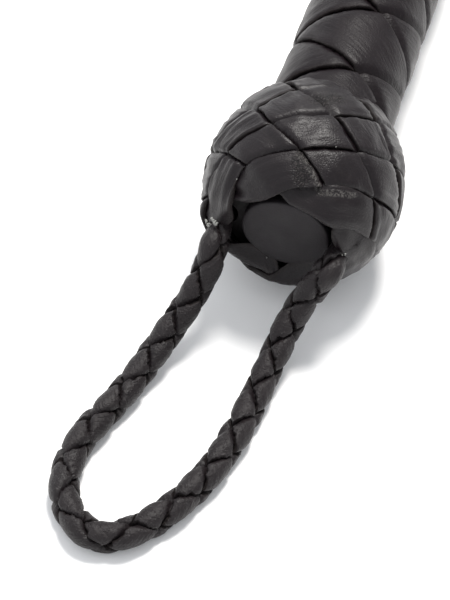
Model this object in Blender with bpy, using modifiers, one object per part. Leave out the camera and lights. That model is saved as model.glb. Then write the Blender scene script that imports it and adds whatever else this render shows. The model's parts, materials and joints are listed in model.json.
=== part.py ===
"""A short plaited leather riding crop, lying on a table.

The crop is laid out straight along its own +X, with the pommel's centre at the origin, and the
empty "crop_axis" then tips it so that the pommel and the tip knot both rest on Z = 0.
"""
import math

import bmesh
import bpy
from mathutils import Matrix, Vector

MM = 0.001

# Pommel
KNOB_R = 19.5 * MM
BALL_R = 16.4 * MM
BALL_FRONT = -10.3 * MM
BALL_BACK = 12.0 * MM
MOUTH_R = 10.9 * MM
CAP_R = 8.6 * MM
CAP_FRONT = -12.1 * MM
CAP_THICK = 1.5 * MM
GAP = 0.3 * MM

# Grip
GRIP_R = 12.65 * MM
DOWEL_R = 9.9 * MM
GRIP_START = 13.6 * MM
GRIP_END = 158.4 * MM
GRIP_PITCH = 35.0 * MM
GRIP_LACE_THICK = 1.0 * MM

# Shaft
SHAFT_START = 161.5 * MM
SHAFT_END = 436.5 * MM
SHAFT_R_START = 7.3 * MM
SHAFT_R_END = 4.9 * MM
SHAFT_LACE_THICK = 0.8 * MM
SHAFT_LACE_ANGLE = math.radians(40)
SHAFT_OVERHANG = 4.9 * MM
BOLSTER_DEPTH = 2.45 * MM
LACE_COVER = 0.88
ROD_START = -8.0 * MM
ROD_END = 444.0 * MM
ROD_R_START = 3.0 * MM
ROD_R_END = 1.5 * MM

# Collar and tip. The profiles give (x, radius) in millimetres along the outer side.
COLLAR_START = 150.0 * MM
COLLAR_END = 176.0 * MM
COLLAR_PROFILE = [(176.0, 8.1), (173.0, 9.4), (168.0, 11.8), (162.0, 13.6), (156.5, 14.2), (152.5, 14.0)]
COLLAR_STEP = 0.4 * MM
TIP_KNOT_X = 438.0 * MM
TIP_KNOT_R = 6.5 * MM
TIP_KNOT_START = 430.0 * MM
TIP_KNOT_END = 447.0 * MM
TIP_KNOT_PROFILE = [(445.0, 5.5), (442.0, 6.2), (438.0, 6.5), (434.0, 6.3), (431.0, 5.8)]
TIP_THROAT = 4.5 * MM
BINDING_START = 447.5 * MM
BINDING_END = 452.0 * MM
BINDING_R = 5.5 * MM
BINDING_THICK = 0.5 * MM
TAB_SECTIONS = [(437.8, 3.4, 2.6), (446.0, 3.6, 2.2), (455.0, 5.0, 0.95)]

# Keeper
KEEPER_HINGE_X = 456.5 * MM
KEEPER_ROOT = 1.0 * MM
KEEPER_LENGTH = 60.0 * MM
KEEPER_ROOT_W = 11.0 * MM
KEEPER_WIDTH = 27.0 * MM
KEEPER_FLARE = 26.0 * MM
KEEPER_CORNER = 8.0 * MM
LEAF_THICK = 1.2 * MM
LEAF_FLOAT = 0.05 * MM
SEAM_INSET = 2.6 * MM
SEAM_LIFT = 0.65 * MM
THREAD_R = 0.35 * MM

# Posture on the table
TILT = math.asin((KNOB_R - TIP_KNOT_R) / TIP_KNOT_X)
HINGE_HEIGHT = KNOB_R - KEEPER_HINGE_X * math.sin(TILT)
KEEPER_STACK = LEAF_THICK + GAP / 2
KEEPER_SLOPE = math.asin((HINGE_HEIGHT - KEEPER_STACK - LEAF_FLOAT) / KEEPER_LENGTH)
FRONT_X = -math.sqrt(KNOB_R ** 2 - MOUTH_R ** 2) * math.cos(TILT) - MOUTH_R * math.sin(TILT)
BACK_X = KEEPER_HINGE_X * math.cos(TILT) + KEEPER_LENGTH * math.cos(KEEPER_SLOPE)
KNOB_X = -(FRONT_X + BACK_X) / 2

# Wrist loop. Its route is in millimetres from the point on the table under the pommel's centre.
LOOP_R = 3.0 * MM
TAIL_R = 2.7 * MM
SOCKET_R = 3.35 * MM
LOOP_PIVOT = (-18.0, 0.0, 18.6)
LOOP_STEP = 5.0 * MM
LOOP_ROUTE = [
    (-18.0, 12.3, 18.6), (-21.2, 12.6, 15.6), (-25.0, 14.1, 11.3), (-30.1, 16.4, 7.3),
    (-36.0, 18.6, 4.6), (-43.0, 20.8, 3.3), (-50.5, 23.3, 3.0), (-57.3, 25.5, 3.0),
    (-63.4, 26.0, 3.0), (-69.0, 24.7, 3.0), (-73.4, 21.4, 3.0), (-75.7, 16.7, 3.0),
    (-74.4, 12.2, 3.0), (-70.4, 7.9, 3.0), (-65.0, 4.3, 3.0), (-58.5, 1.3, 3.0),
    (-51.5, -0.7, 3.0), (-44.0, -1.9, 3.0), (-36.5, -2.7, 3.6), (-30.0, -3.5, 5.3),
    (-24.9, -4.6, 8.2), (-21.0, -6.6, 12.8), (-18.0, -9.8, 18.6),
]
LEFT_TAIL = [(-14.7, 13.0, 19.0), (-6.5, 13.6, 19.2)]
RIGHT_TAIL = [(-14.7, -11.2, 19.0), (-6.5, -12.9, 19.2)]
SOCKET_FLOOR = 0.4
SOCKET_MOUTH = 8.0
LEFT_HEADING = (1.0, 0.2, 0.1)
RIGHT_HEADING = (1.0, -0.3, 0.1)
DOME = [(0.99, 0.14), (0.85, 0.527), (0.55, 0.835)]

LEATHER_BLACK = (0.030, 0.028, 0.030)
LEATHER_CAP = (0.038, 0.034, 0.038)
THREAD_BLACK = (0.020, 0.020, 0.022)
WOOD_PALE = (0.45, 0.30, 0.17)
FIBREGLASS = (0.62, 0.60, 0.50)


def clear_scene():
    for obj in list(bpy.data.objects):
        bpy.data.objects.remove(obj, do_unlink=True)


def collection(name):
    made = bpy.data.collections.new(name)
    bpy.context.scene.collection.children.link(made)
    return made


def material(name, colour, roughness, metallic=0.0):
    made = bpy.data.materials.new(name)
    made.use_nodes = True
    shader = made.node_tree.nodes["Principled BSDF"]
    shader.inputs["Base Color"].default_value = (*colour, 1.0)
    shader.inputs["Roughness"].default_value = roughness
    shader.inputs["Metallic"].default_value = metallic
    made.diffuse_color = (*colour, 1.0)
    return made


def place(name, data, parent, group, mat=None):
    obj = bpy.data.objects.new(name, data)
    group.objects.link(obj)
    obj.parent = parent
    if mat:
        data.materials.append(mat)
    return obj


def empty(name, location, group, rotation_y=0.0, parent=None):
    obj = bpy.data.objects.new(name, None)
    group.objects.link(obj)
    obj.parent = parent
    obj.location = location
    obj.rotation_euler = (0.0, rotation_y, 0.0)
    return obj


def turned(name, profile, parent, group, mat, steps=32):
    """Turn a profile of (x, radius) about the crop's axis, given from +X to -X on the outer side."""
    mesh = bpy.data.meshes.new(name)
    bore = profile[0][1] > 0
    edges = [(i, i + 1) for i in range(len(profile) - 1)]
    if bore:
        edges.append((len(profile) - 1, 0))
    mesh.from_pydata([(radius, 0.0, x) for x, radius in profile], edges, [])
    obj = place(name, mesh, parent, group, mat)
    obj.rotation_euler = (0.0, math.pi / 2, 0.0)
    screw = obj.modifiers.new("turn", "SCREW")
    screw.steps = steps
    screw.render_steps = steps
    screw.use_merge_vertices = True
    screw.merge_threshold = 0.00001
    screw.use_smooth_shade = True
    return obj


def arc(radius, x_from, x_to, count):
    """Points (x, r) on a sphere about the pommel's centre, between two places on the axis."""
    start = math.acos(x_from / radius)
    end = math.acos(x_to / radius)
    angles = [start + (end - start) * i / (count - 1) for i in range(count)]
    return [(radius * math.cos(a), radius * math.sin(a)) for a in angles]


def rod_radius(x):
    share = (x - ROD_START) / (ROD_END - ROD_START)
    return ROD_R_START + (ROD_R_END - ROD_R_START) * share


def shaft_radius(x):
    share = (x - SHAFT_START) / (SHAFT_END - SHAFT_START)
    return SHAFT_R_START + (SHAFT_R_END - SHAFT_R_START) * share


def smooth_route(points, step):
    """Points about one step apart on a Catmull-Rom curve through the given ones."""
    route = [Vector(p) * MM for p in points]
    route = [2 * route[0] - route[1], *route, 2 * route[-1] - route[-2]]
    fine = []
    for a, b, c, d in zip(route, route[1:], route[2:], route[3:]):
        for i in range(20):
            t = i / 20
            fine.append(0.5 * (2 * b + (c - a) * t + (2 * a - 5 * b + 4 * c - d) * t ** 2
                               + (3 * b - a - 3 * c + d) * t ** 3))
    fine.append(route[-2])
    total = sum((q - p).length for p, q in zip(fine, fine[1:]))
    spacing = total / round(total / step)
    kept = [fine[0]]
    walked = 0.0
    for p, q in zip(fine, fine[1:]):
        walked += (q - p).length
        if walked >= spacing * len(kept) - 1e-6:
            kept.append(q)
    return kept


def tube(name, points, radius, parent, group, mat, shrink=None):
    """A capped round tube; shrink gives the share of the radius at each point."""
    curve = bpy.data.curves.new(name, "CURVE")
    curve.dimensions = "3D"
    curve.bevel_depth = radius
    curve.bevel_resolution = 2
    curve.use_fill_caps = True
    spline = curve.splines.new("POLY")
    spline.points.add(len(points) - 1)
    for i, point in enumerate(points):
        spline.points[i].co = (*point, 1.0)
        spline.points[i].radius = shrink[i] if shrink else 1.0
    return place(name, curve, parent, group, mat)


def lace(name, parent, group, mat, start, end, radius_at, pitch_at, thick, phase, hand, per_turn):
    """A flat lace wound on a round core, as an open strip with a Solidify. Hand is +1 or -1.

    Two laces of one hand cover the core between them, apart from LACE_COVER's small gaps.
    Each cell is split along its straighter diagonal, which keeps the strip close to round.
    """
    across = 3
    mesh = bpy.data.meshes.new(name)
    verts = []
    rows = 0
    x = start
    angle = phase
    while x <= end:
        radius = radius_at(x)
        lean = math.atan(2 * math.pi * radius / pitch_at(x))
        width = LACE_COVER * math.pi * (radius - thick) * math.cos(lean)
        for j in range(across + 1):
            v = width * (j / across - 0.5)
            px = x - v * math.sin(lean)
            pa = hand * (angle + v * math.cos(lean) / radius)
            verts.append((px, radius * math.sin(pa), radius * math.cos(pa)))
        rows += 1
        angle += 2 * math.pi / per_turn
        x += pitch_at(x) / per_turn
    faces = []
    for i in range(rows - 1):
        for j in range(across):
            a = i * (across + 1) + j
            b, c, d = a + 1, a + across + 2, a + across + 1
            for corners in ((a, b, d), (b, c, d)):
                faces.append(corners if hand < 0 else corners[::-1])
    mesh.from_pydata(verts, [], faces)
    mesh.shade_smooth()
    obj = place(name, mesh, parent, group, mat)
    solid = obj.modifiers.new("leather", "SOLIDIFY")
    solid.thickness = thick
    solid.offset = -1.0
    return obj


def plait(name, parent, group, mat, start, end, radius_at, pitch_at, thick, per_turn):
    """Four laces, two of each hand, the first hand's pair lying under the other's.

    Each layer is how deep its laces' outer faces lie below the plait's own radius.
    """
    under = thick + 1.5 * GAP
    for number in range(4):
        hand, depth = ((1, under), (-1, 0.0))[number // 2]
        lace(f"{name}_lace_{number + 1}", parent, group, mat, start, end,
             lambda x: radius_at(x) - depth, pitch_at, thick, math.pi * (number % 2), hand, per_turn)


def grip_plait(parent, group, mat):
    lean = math.atan(2 * math.pi * GRIP_R / GRIP_PITCH)
    overhang = LACE_COVER * math.pi * GRIP_R * math.cos(lean) / 2 * math.sin(lean)
    plait("grip", parent, group, mat, GRIP_START + overhang, GRIP_END - overhang,
          lambda x: GRIP_R, lambda x: GRIP_PITCH, GRIP_LACE_THICK, 16)


def shaft_plait(parent, group, mat):
    plait("shaft", parent, group, mat, SHAFT_START + SHAFT_OVERHANG, SHAFT_END - SHAFT_OVERHANG,
          shaft_radius, lambda x: 2 * math.pi * shaft_radius(x) / math.tan(SHAFT_LACE_ANGLE),
          SHAFT_LACE_THICK, 12)


def core(parent, group, wood, glass, leather):
    rod = [(ROD_END, 0.0), (ROD_END, ROD_R_END), (ROD_START, ROD_R_START), (ROD_START, 0.0)]
    turned("core_rod", rod, parent, group, glass, 16)
    dowel_x = BALL_BACK + GAP
    dowel = [(GRIP_END, DOWEL_R), (dowel_x, DOWEL_R), (dowel_x, rod_radius(dowel_x) + GAP),
             (GRIP_END, rod_radius(GRIP_END) + GAP)]
    turned("handle_dowel", dowel, parent, group, wood, 24)
    near = GRIP_END + 1.5 * GAP
    bolster = [(SHAFT_END, shaft_radius(SHAFT_END) - BOLSTER_DEPTH),
               (near, shaft_radius(near) - BOLSTER_DEPTH),
               (near, rod_radius(near) + GAP), (SHAFT_END, rod_radius(SHAFT_END) + GAP)]
    turned("shaft_bolster", bolster, parent, group, leather, 16)


def pommel(parent, group, cutters, wood, leather, cap_leather):
    socket = rod_radius(BALL_BACK) + GAP
    floor = ROD_START - GAP
    ball = [(floor, 0.0), (floor, socket), (BALL_BACK, socket)]
    ball += arc(BALL_R, BALL_BACK, BALL_FRONT, 12)
    ball += [(BALL_FRONT, 0.0)]
    ball_obj = turned("pommel_ball", ball, parent, group, wood, 24)
    inside = BALL_R + GAP
    neck_r = GRIP_R + GAP
    neck_out = math.sqrt(KNOB_R ** 2 - (neck_r + GAP) ** 2)
    neck_in = math.sqrt(inside ** 2 - neck_r ** 2)
    mouth_out = -math.sqrt(KNOB_R ** 2 - MOUTH_R ** 2)
    mouth_in = -math.sqrt(inside ** 2 - MOUTH_R ** 2)
    shell = arc(KNOB_R, neck_out, mouth_out, 14) + arc(inside, mouth_in, neck_in, 10)
    shell += [(neck_out, neck_r)]
    knot = turned("pommel_knot", shell, parent, group, leather, 32)
    edge = 0.4 * MM
    cap_back = CAP_FRONT + CAP_THICK
    cap = [(cap_back, 0.0), (cap_back, CAP_R), (CAP_FRONT + edge, CAP_R),
           (CAP_FRONT, CAP_R - edge), (CAP_FRONT, 0.0)]
    turned("end_cap", cap, parent, group, cap_leather, 32)
    for side, ends in (("left", LEFT_TAIL), ("right", RIGHT_TAIL)):
        near, far = (Vector(p) for p in ends)
        along = (near - far).normalized()
        cutter = socket_cutter(f"socket_{side}", far - along * SOCKET_FLOOR,
                               near + along * SOCKET_MOUTH, cutters)
        for target in (ball_obj, knot):
            cut = target.modifiers.new(f"socket_{side}", "BOOLEAN")
            cut.operation = "DIFFERENCE"
            cut.object = cutter


def socket_cutter(name, low, high, cutters):
    """A cylinder between two points given in millimetres from under the pommel's centre."""
    low = on_table(low)
    high = on_table(high)
    mesh = bpy.data.meshes.new(name)
    shape = bmesh.new()
    bmesh.ops.create_cone(shape, cap_ends=True, segments=20, radius1=SOCKET_R, radius2=SOCKET_R,
                          depth=(high - low).length)
    turn = (high - low).to_track_quat("Z", "Y").to_matrix().to_4x4()
    shape.transform(Matrix.Translation((low + high) / 2) @ turn)
    shape.to_mesh(mesh)
    shape.free()
    obj = place(name, mesh, None, cutters)
    obj.display_type = "WIRE"
    obj.hide_render = True
    return obj


def on_table(point):
    return Vector(point) * MM + Vector((KNOB_X, 0.0, 0.0))


def domed(route, shrink, heading):
    """Adds a rounded end before a tube's first point, centred on that point."""
    along = Vector(heading).normalized()
    extra = [route[0] + along * LOOP_R * reach for reach, _ in DOME]
    return extra + route, [size for _, size in DOME] + shrink


def wrist_loop(group, leather):
    pivot = empty("loop_pivot", on_table(LOOP_PIVOT), group)
    route = smooth_route(LOOP_ROUTE, LOOP_STEP)
    shrink = [1.0] * len(route)
    for heading in (LEFT_HEADING, RIGHT_HEADING):
        route, shrink = domed(route, shrink, heading)
        route.reverse()
        shrink.reverse()
    origin = Vector(LOOP_PIVOT) * MM
    tube("wrist_loop", [p - origin for p in route], LOOP_R, pivot, group, leather, shrink)
    for side, ends in (("left", LEFT_TAIL), ("right", RIGHT_TAIL)):
        tube(f"loop_tail_{side}", [on_table(p) for p in ends], TAIL_R, None, group, leather)


def in_metres(profile):
    return [(x * MM, radius * MM) for x, radius in profile]


def collar(parent, group, mat):
    inner = GRIP_R + GAP
    throat = SHAFT_R_START + GAP
    outer = [*in_metres(COLLAR_PROFILE), (COLLAR_START, inner + GAP)]
    bore = [(COLLAR_START, inner), (GRIP_END + COLLAR_STEP, inner),
            (SHAFT_START - COLLAR_STEP, throat), (COLLAR_END, throat)]
    turned("grip_collar", outer + bore, parent, group, mat, 24)


def tip(parent, group, cutters, leather, thread):
    over_lace = SHAFT_R_END + GAP
    outer = [(TIP_KNOT_END, TIP_THROAT + GAP), *in_metres(TIP_KNOT_PROFILE),
             (TIP_KNOT_START, over_lace + GAP)]
    bore = [(TIP_KNOT_START, over_lace), (SHAFT_END + COLLAR_STEP, over_lace),
            (SHAFT_END + 2 * COLLAR_STEP, TIP_THROAT), (TIP_KNOT_END, TIP_THROAT)]
    turned("tip_knot", outer + bore, parent, group, leather, 24)
    inner = BINDING_R - BINDING_THICK
    ring = [(BINDING_END, BINDING_R), (BINDING_START, BINDING_R), (BINDING_START, inner),
            (BINDING_END, inner)]
    turned("tip_binding", ring, parent, group, thread, 24)
    tab = keeper_tab(parent, group, leather)
    socket = ROD_R_END + GAP
    drill = turned("rod_socket", [(ROD_END + GAP, 0.0), (ROD_END + GAP, socket),
                                  (TIP_KNOT_START, socket), (TIP_KNOT_START, 0.0)],
                   parent, cutters, None, 16)
    drill.display_type = "WIRE"
    drill.hide_render = True
    cut = tab.modifiers.new("rod_socket", "BOOLEAN")
    cut.operation = "DIFFERENCE"
    cut.object = drill


def keeper_tab(parent, group, leather):
    """A strap of rectangular sections, round the rod's end at one side and thin at the other."""
    mesh = bpy.data.meshes.new("keeper_tab")
    corners = ((-1, -1), (1, -1), (1, 1), (-1, 1))
    verts = [(x * MM, sy * half_width * MM, sz * half_thick * MM)
             for x, half_width, half_thick in TAB_SECTIONS for sy, sz in corners]
    last = 4 * (len(TAB_SECTIONS) - 1)
    faces = [(0, 3, 2, 1), (last, last + 1, last + 2, last + 3)]
    for i in range(0, last, 4):
        for j in range(4):
            k = (j + 1) % 4
            faces.append((i + j, i + k, i + 4 + k, i + 4 + j))
    mesh.from_pydata(verts, [], faces)
    return place("keeper_tab", mesh, parent, group, leather)


def keeper_outline(inset):
    """The flap's outline in its own plane: a narrow root, swelling sides and a rounded end."""
    half_root = KEEPER_ROOT_W / 2 - inset
    half = KEEPER_WIDTH / 2 - inset
    corner = KEEPER_CORNER - inset
    end = KEEPER_LENGTH - inset
    side = []
    for i in range(9):
        t = i / 8
        swell = 0.5 - 0.5 * math.cos(math.pi * t)
        side.append((KEEPER_ROOT + inset + t * KEEPER_FLARE, half_root + (half - half_root) * swell))
    for i in range(7):
        a = math.radians(90 * (1 - i / 6))
        side.append((end - corner + corner * math.cos(a), half - corner + corner * math.sin(a)))
    return side + [(x, -y) for x, y in reversed(side)]


def keeper(parent, group, leather, thread):
    droop = KEEPER_SLOPE - TILT
    pivot = empty("keeper_pivot", (KEEPER_HINGE_X, 0.0, 0.0), group, droop, parent)
    for name, side in (("keeper_upper_leaf", 1), ("keeper_lower_leaf", -1)):
        curve = bpy.data.curves.new(name, "CURVE")
        curve.dimensions = "2D"
        curve.fill_mode = "BOTH"
        curve.extrude = LEAF_THICK / 2
        outline = keeper_outline(0.0)
        spline = curve.splines.new("POLY")
        spline.points.add(len(outline) - 1)
        spline.use_cyclic_u = True
        for point, (x, y) in zip(spline.points, outline):
            point.co = (x, y, 0.0, 1.0)
        leaf = place(name, curve, pivot, group, leather)
        leaf.location.z = side * (LEAF_THICK + GAP) / 2
    height = KEEPER_STACK + SEAM_LIFT
    seam = [Vector((x, y, height)) for x, y in keeper_outline(SEAM_INSET)]
    tube("keeper_stitching", seam, THREAD_R, pivot, group, thread)


def main():
    clear_scene()
    crop = collection("riding_crop")
    cutters = collection("cutters")
    leather = material("black_leather", LEATHER_BLACK, 0.5)
    cap_leather = material("cap_leather", LEATHER_CAP, 0.65)
    thread = material("waxed_thread", THREAD_BLACK, 0.6)
    wood = material("turned_wood", WOOD_PALE, 0.7)
    glass = material("fibreglass", FIBREGLASS, 0.4)
    axis = empty("crop_axis", (KNOB_X, 0.0, KNOB_R), crop, TILT)
    bpy.context.view_layer.update()
    core(axis, crop, wood, glass, leather)
    pommel(axis, crop, cutters, wood, leather, cap_leather)
    wrist_loop(crop, leather)
    grip_plait(axis, crop, leather)
    collar(axis, crop, leather)
    shaft_plait(axis, crop, leather)
    tip(axis, crop, cutters, leather, thread)
    keeper(axis, crop, leather, thread)


main()
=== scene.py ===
import json
import math

import bmesh
import bpy
import numpy as np
from mathutils import Matrix, Vector


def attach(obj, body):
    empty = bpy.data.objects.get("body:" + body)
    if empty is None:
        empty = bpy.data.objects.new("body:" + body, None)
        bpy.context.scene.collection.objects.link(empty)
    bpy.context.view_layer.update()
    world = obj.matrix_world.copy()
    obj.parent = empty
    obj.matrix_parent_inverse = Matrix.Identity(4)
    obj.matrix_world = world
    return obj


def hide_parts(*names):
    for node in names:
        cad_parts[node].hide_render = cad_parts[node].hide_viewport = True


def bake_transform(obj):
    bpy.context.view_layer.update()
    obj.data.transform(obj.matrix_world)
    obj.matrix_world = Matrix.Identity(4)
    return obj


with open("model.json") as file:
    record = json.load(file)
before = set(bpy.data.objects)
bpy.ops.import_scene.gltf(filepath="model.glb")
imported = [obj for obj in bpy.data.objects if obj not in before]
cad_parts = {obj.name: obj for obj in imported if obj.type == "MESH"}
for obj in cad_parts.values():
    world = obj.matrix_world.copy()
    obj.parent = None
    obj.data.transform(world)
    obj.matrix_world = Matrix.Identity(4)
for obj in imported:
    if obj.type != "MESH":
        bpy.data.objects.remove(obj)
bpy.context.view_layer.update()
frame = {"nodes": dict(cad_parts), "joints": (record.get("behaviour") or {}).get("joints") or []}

# The plaited leather riding crop. Lengths here are in millimetres and angles in degrees, in the
# crop's own frame: x runs from the pommel's centre towards the keeper, longitude 0 is up and
# 90 is towards +Y. Each woven piece is a flat lace laid on a surface of rows and turns.
MM = 0.001

# The crop's own frame
KNOB_R = 19.5
TIP_KNOT_X = 438.0
TIP_KNOT_R = 6.5
LOOP_PIVOT_X = -18.0
JOINT = {joint["name"]: joint for joint in frame["joints"]}
KNOB_X = JOINT["loop_swing"]["pos_m"][0] / MM - LOOP_PIVOT_X
TILT = math.asin((KNOB_R - TIP_KNOT_R) / TIP_KNOT_X)
CROP_AXIS = Matrix.Translation((KNOB_X * MM, 0.0, KNOB_R * MM)) @ Matrix.Rotation(TILT, 4, "Y")

# Camera, whose aim is from the table point under the pommel's centre
CAMERA_AIM = (-17.1, 10.5, 0.0)
CAMERA_AZIMUTH = -72.4
CAMERA_ELEVATION = 54.2
CAMERA_DISTANCE = 350.0
CAMERA_LENS = 106.0
CAMERA_SENSOR = 36.0

# Light: a white tent, brighter towards +Y, and a lamp over the shaft. The lamp's sizes are in
# metres and watts, and its place is from the table point under the pommel's centre.
TENT_COLOUR = (0.955, 0.975, 1.0, 1.0)
TENT_STRENGTH = 0.97
TENT_SLOPE = 0.32
LAMP_PLACE = (0.40, -0.04, 0.95)
LAMP_AIM_HEIGHT = 0.02
LAMP_SIZE = 0.30
LAMP_POWER = 14.0
LAMP_COLOUR = (1.0, 0.975, 0.94)
FLOOR_HALF = 3000.0

# Pommel knot: a Turk's head of one lace, with 7 leads and 6 bights
KNOT_LEADS = 7
KNOT_BIGHTS = 6
KNOT_THICK = 1.05
KNOT_START = -99.9
# The latitude of each weave row, then how the weave leans and is drawn together on one side
KNOT_ROWS = (-49.0, -34.4, -19.9, -7.5, 8.8, 26.4, 38.5, 47.0)
KNOT_TWIST = -0.284
KNOT_TWIST_LAT = -7.0
KNOT_SQUEEZE = 9.57
KNOT_SQUEEZE_AT = 18.8
# The neck's radius, the shoulder's rise above the ball, and how far the low side's lip reaches in
NECK_R = 14.3
KNOT_SHOULDER = 0.9
KNOT_LIP = 11.0
# The mouth's rim: its latitude, then in mm for each degree past it the steps in and back, and
# the degrees over which it rolls
RIM_LAT = -49.0
RIM_STEP = 0.31
RIM_BACK = 0.10
RIM_ROLL = 6.0
# Where hand work has pulled the weave aside: longitude, latitude, and the shift in each
KNOT_PULLS = (
    (-24.0, -34.4, -2.0, -1.6), (27.6, -34.4, 5.4, 2.4), (40.6, 8.8, -5.6, -0.8),
    (-9.8, 8.8, -4.2, 0.2), (-64.9, 8.8, 4.9, -0.8), (10.4, 26.4, 3.6, -0.4),
    (-56.7, -19.9, -3.3, 0.0), (94.0, -60.0, 0.0, 7.0), (-96.0, -60.0, 0.0, 9.0),
)
PULL_REACH = 18.4
# Where the laces are lifted, over the wrist loop's root, or dented: longitude, latitude, reach, rise
KNOT_LIFTS = (
    (94.0, -42.0, 15.56, 1.8), (-3.5, -1.0, 4.81, -0.22), (-2.0, -6.5, 4.81, -0.30),
    (0.0, -12.0, 4.53, -0.24), (-11.0, -6.0, 6.36, 0.14), (5.0, -9.0, 6.36, 0.12),
)
# Where a lace is pulled narrow: longitude, latitude, reach, share
KNOT_PINCHES = ((-42.0, 2.0, 11.0, 0.13),)
# Where the laces have folded lengthwise: longitude, latitude, reach, depth
KNOT_FOLDS = ((55.0, -26.0, 19.0, 0.20), (-60.0, 20.0, 14.0, 0.10))
# Where the finish has cracked, its grooves painted darker as shade: longitude, latitude, reach, strength
KNOT_CRACKS = (
    (-8.6, -35.0, 7.5, 1.0), (-3.0, -27.0, 5.0, 0.9), (-2.0, 17.0, 8.0, 0.8), (-12.0, 23.0, 6.0, 0.8),
)
# Where it flakes along an edge: from longitude, latitude, to longitude, latitude
KNOT_FLAKES = ((-1.0, -23.0, -23.5, -38.6), (-24.0, -39.6, -45.0, -29.3))
FLAKE_REACH = 1.7
# Dried glue: longitude, latitude, distance from the centre, count, spread in degrees, size
GLUE = (
    (78.0, -50.5, 20.9, 7, 1.7, 0.27), (87.0, -48.5, 21.2, 7, 1.9, 0.27),
    (-79.0, -51.5, 20.2, 3, 1.0, 0.15), (40.1, -39.2, 19.6, 1, 0.3, 0.13),
    (35.5, -12.6, 19.5, 1, 0.3, 0.10), (-20.4, -12.0, 19.4, 2, 0.5, 0.12),
    (157.0, -56.0, 15.65, 2, 1.2, 0.13), (-163.0, -56.0, 15.65, 1, 0.3, 0.13),
)

# Grip, a four-strand round plait of wide flat laces
GRIP_R = 12.65
GRIP_START = 12.4
GRIP_END = 156.0
GRIP_ROW = 8.75
GRIP_ROW_ZERO = 22.5
GRIP_TURN = -18.0
GRIP_SKEW = 1.6
GRIP_THICK = 1.1

# Wrist loop, whose route is from the table point under the pommel's centre. LOOP_FACE is the way
# that one ridge of its plait faces, and its two roots lead on from the route into the pommel.
LOOP_R = 3.0
LOOP_THICK = 0.85
LOOP_ROW = 4.75
LOOP_ROOT_SHRINK = 0.22
LOOP_FACE = (-0.56, -0.18, 0.81)
LOOP_ROUTE = (
    (-18.0, 12.3, 18.6), (-21.2, 12.6, 15.6), (-25.0, 14.1, 11.3), (-30.1, 16.4, 7.3),
    (-36.0, 18.6, 4.6), (-43.0, 20.8, 3.3), (-50.5, 23.3, 3.0), (-57.3, 25.5, 3.0),
    (-63.4, 26.0, 3.0), (-69.0, 24.7, 3.0), (-73.4, 21.4, 3.0), (-75.7, 16.7, 3.0),
    (-74.4, 12.2, 3.0), (-70.4, 7.9, 3.0), (-65.0, 4.3, 3.0), (-58.5, 1.3, 3.0),
    (-51.5, -0.7, 3.0), (-44.0, -1.9, 3.0), (-36.5, -2.7, 3.6), (-30.0, -3.5, 5.3),
    (-24.9, -4.6, 8.2), (-21.0, -6.6, 12.8), (-18.0, -9.8, 18.6),
)
LEFT_ROOT = ((-9.0, 13.1, 19.3), (-13.4, 12.5, 19.3))
RIGHT_ROOT = ((-13.4, -10.8, 19.3), (-9.0, -12.2, 19.3))

# Cap, collar, shaft and tip
CAP_R = 8.6
CAP_FRONT = -12.9
CAP_THICK = 2.3
# The cap's outline from its middle to its back edge: radius, and depth behind its front
CAP_SIDE = (
    (0.0, -0.10), (3.0, -0.09), (6.0, -0.05), (7.6, 0.0), (8.25, 0.08), (8.5, 0.22), (CAP_R, 0.5),
    (CAP_R, CAP_THICK), (0.0, CAP_THICK),
)
CAP_SIDES = 72
SHAFT_START = 161.5
SHAFT_END = 436.0
SHAFT_R_START = 7.3
SHAFT_R_END = 4.9
SHAFT_THICK = 0.8
SHAFT_LEAN = 40.0
# Side outlines of the two ring knots: x and radius
COLLAR_SIDE = (
    (150.2, 14.0), (153.0, 14.4), (156.5, 14.5), (162.0, 13.6), (168.0, 11.8), (173.0, 9.4), (175.4, 8.4),
)
COLLAR_THICK = 0.8
TIP_SIDE = ((430.6, 5.7), (434.0, 6.3), (438.0, 6.5), (442.0, 6.2), (446.4, 5.3))
TIP_THICK = 0.6

# Whipping and keeper, whose lengths run from its hinge
WHIP_START = 447.85
WHIP_END = 451.65
WHIP_TURNS = 6
WHIP_R = 5.2
WHIP_THREAD_R = 0.34
HINGE_X = 456.5
KEEPER_DROOP = 2.65
KEEPER_BACK = -10.0
KEEPER_ROOT = 1.0
KEEPER_LENGTH = 60.0
KEEPER_ROOT_W = 11.0
KEEPER_WIDTH = 27.0
KEEPER_FLARE = 26.0
KEEPER_CORNER = 8.0
# Each leather's two faces from the keeper's middle plane, then its gathered root
LEAF_INNER = 0.15
LEAF_OUTER = 1.35
LEAF_EDGE_ROUND = 0.55
GATHER_R = 4.8
GATHER_THICK = 1.3
# The border's pressed line, the groove that the stitches lie in, and the stitches
CREASE_INSET = 1.2
CREASE_DEPTH = 0.11
SEAM_DEPTH = 0.17
STITCH_INSET = 2.6
STITCH_STEP = 3.1
STITCH_LENGTH = 2.35
STITCH_R = 0.3


# ---------------------------------------------------------------- shapes in numbers

def unit(vectors):
    return vectors / np.linalg.norm(vectors, axis=-1, keepdims=True)


def smoothstep(low, high, value):
    share = np.clip((value - low) / (high - low), 0.0, 1.0)
    return share * share * (3.0 - 2.0 * share)


def turned(x, radius, longitude):
    """Points at a distance along the crop's axis, a radius and a longitude."""
    angle = np.radians(longitude)
    return np.stack([x + 0.0 * angle, radius * np.sin(angle), radius * np.cos(angle)], axis=-1)


def wobble(u, v, seed, waves=7):
    """A smooth irregular field of about unit size, with a period of about one in u and v."""
    draw = np.random.default_rng(seed)
    total = np.zeros(np.broadcast(u, v).shape)
    for _ in range(waves):
        heading = draw.uniform(0, 2 * math.pi)
        pace = 2 * math.pi * draw.uniform(0.6, 1.5)
        total += np.sin(pace * (u * math.cos(heading) + v * math.sin(heading)) + draw.uniform(0, 2 * math.pi))
    return total / math.sqrt(waves / 2)


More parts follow.
